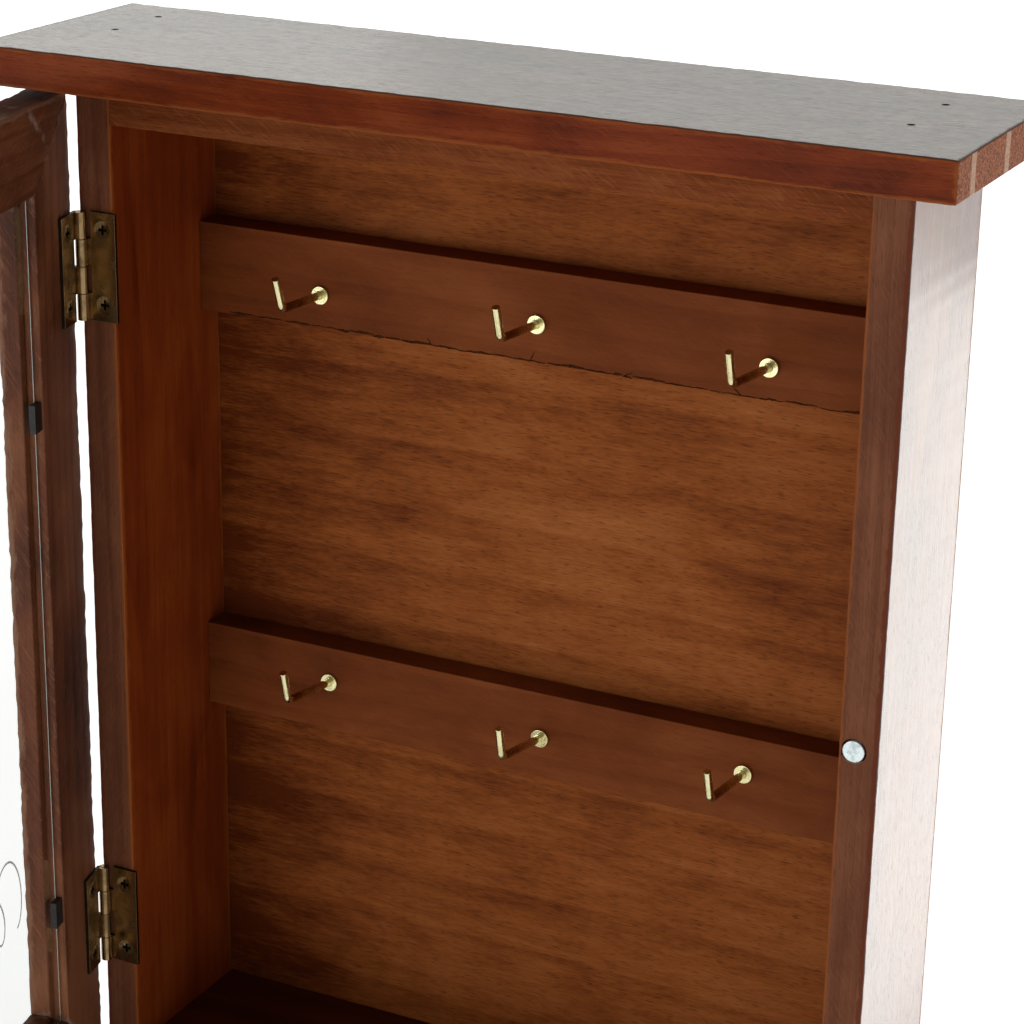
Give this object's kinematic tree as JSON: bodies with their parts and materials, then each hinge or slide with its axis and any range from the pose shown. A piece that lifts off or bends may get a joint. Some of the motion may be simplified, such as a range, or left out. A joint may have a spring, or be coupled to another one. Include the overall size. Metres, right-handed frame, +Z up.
{
  "type": "key cabinet",
  "caption": "Shallow wooden wall cabinet with overhanging top and base boards, slats of brass key hooks, and a side-hung glazed door with a magnet catch.",
  "frame": {"origin": "middle of the base board's underside", "axes": "+Z up, the front and the door towards -Y, the wall towards +Y, +X to the right seen from the front"},
  "size_m": [0.22, 0.2363, 0.2662],
  "materials": {
    "stained_wood": "red-brown stained pine under gloss lacquer",
    "slat_wood": "smooth red-brown stained wood",
    "plywood": "orange-brown stained thin plywood, grain across",
    "bright_brass": "bright brass plate",
    "antique_brass": "dark antique brass plate",
    "dark_steel": "dark wire nails",
    "hanger_steel": "zinc-plated sheet steel",
    "nickel": "nickel-plated magnet",
    "glass": "clear float glass",
    "black_plastic": "black glazing clips"
  },
  "bodies": {
    "cabinet": {"back_panel": "plywood", "back_panel_nails": "dark_steel", "base_board": "stained_wood", "base_board_nails": "dark_steel", "catch_magnet": "nickel", "inner_bottom_board": "stained_wood", "inner_top_board": "stained_wood", "key_hook_lower_left": "bright_brass", "key_hook_lower_middle": "bright_brass", "key_hook_lower_right": "bright_brass", "key_hook_upper_left": "bright_brass", "key_hook_upper_middle": "bright_brass", "key_hook_upper_right": "bright_brass", "left_side_panel": "stained_wood", "lower_hinge_cabinet_leaf": "antique_brass", "lower_hinge_cabinet_screws": "antique_brass", "lower_hinge_pin": "antique_brass", "lower_hook_slat": "slat_wood", "right_side_panel": "stained_wood", "slat_pins": "dark_steel", "top_board": "stained_wood", "top_board_nails": "dark_steel", "upper_hinge_cabinet_leaf": "antique_brass", "upper_hinge_cabinet_screws": "antique_brass", "upper_hinge_pin": "antique_brass", "upper_hook_slat": "slat_wood", "wall_hanger_left": "hanger_steel", "wall_hanger_right": "hanger_steel", "wall_hanger_screws": "hanger_steel"},
    "door": {"door_bottom_rail": "stained_wood", "door_free_stile": "stained_wood", "door_hinge_stile": "stained_wood", "door_knob": "bright_brass", "door_top_rail": "stained_wood", "glass_pane": "glass", "glazing_clips": "black_plastic", "knob_screw": "bright_brass", "lower_hinge_door_leaf": "antique_brass", "lower_hinge_door_screws": "antique_brass", "strike_tack": "hanger_steel", "upper_hinge_door_leaf": "antique_brass", "upper_hinge_door_screws": "antique_brass"}
  },
  "joints": [
    {"name": "door_hinge", "type": "hinge", "parent": "cabinet", "child": "door", "pos_m": [-0.0952, -0.0141, 0.1328], "axis": [0, 0, 1], "range_deg": [-87, 78]}
  ]
}
